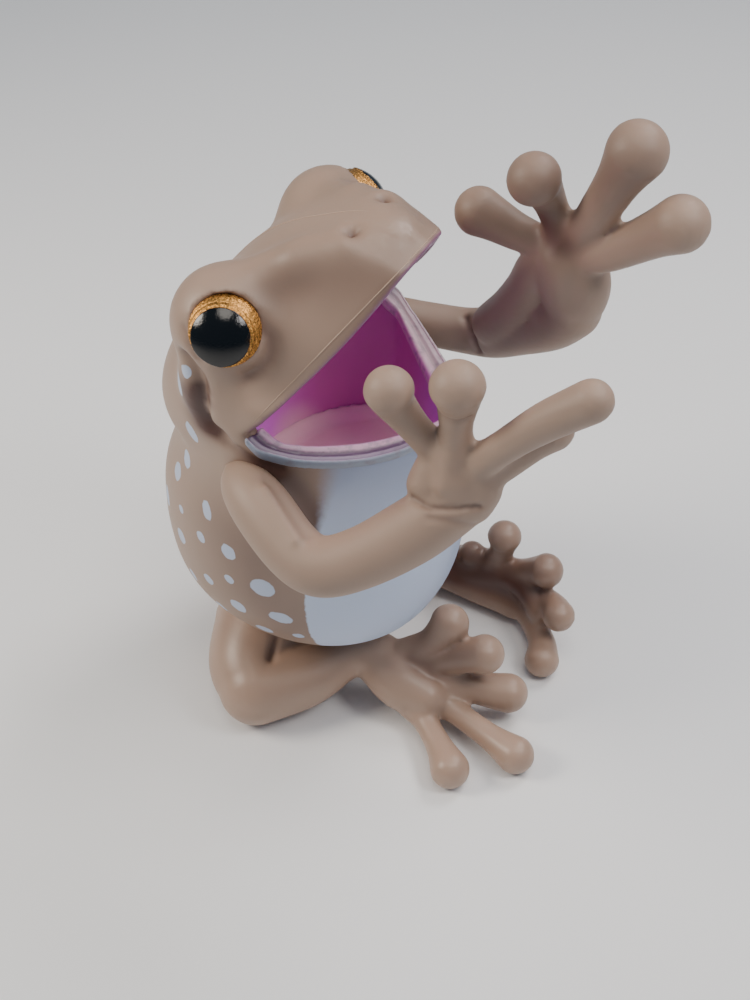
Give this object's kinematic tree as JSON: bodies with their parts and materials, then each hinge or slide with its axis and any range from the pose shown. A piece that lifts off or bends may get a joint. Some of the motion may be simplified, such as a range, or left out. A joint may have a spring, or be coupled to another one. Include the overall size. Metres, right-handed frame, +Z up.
{
  "type": "toy frog figurine",
  "caption": "Moulded plastic tree frog toy, sitting with its head thrown back, its mouth wide open and its arms held out, palms inward.",
  "frame": {"origin": "on the floor, under the middle of the part's bounding box", "axes": "+Z up; the frog faces -Y and its left side is +X"},
  "size_m": [0.039, 0.0464, 0.0645],
  "materials": {
    "skin": "satin moulded PVC, sprayed beige brown",
    "limb": "slightly glossy moulded PVC, brown",
    "belly": "satin moulded PVC, painted white",
    "mouth": "satin paint, purple",
    "tongue": "satin paint, pink",
    "eye": "metallic gold paint round a gloss black pupil"
  },
  "bodies": {
    "root": {"head": "skin", "lower_jaw": "belly", "torso": "skin", "palate": "mouth", "mouth_lining": "mouth", "tongue": "tongue", "eye_left": "eye", "eye_right": "eye", "upper_arm_left": "skin", "forearm_left": "skin", "hand_left": "skin", "finger_left_1": "skin", "finger_left_2": "skin", "finger_left_3": "skin", "finger_left_4": "skin", "thigh_left": "limb", "shin_left": "limb", "foot_left": "limb", "toe_left_1": "limb", "toe_left_2": "limb", "toe_left_3": "limb", "toe_left_4": "limb", "toe_left_5": "limb", "upper_arm_right": "skin", "forearm_right": "skin", "hand_right": "skin", "finger_right_1": "skin", "finger_right_2": "skin", "finger_right_3": "skin", "finger_right_4": "skin", "thigh_right": "limb", "shin_right": "limb", "foot_right": "limb", "toe_right_1": "limb", "toe_right_2": "limb", "toe_right_3": "limb", "toe_right_4": "limb", "toe_right_5": "limb"}
  },
  "joints": []
}
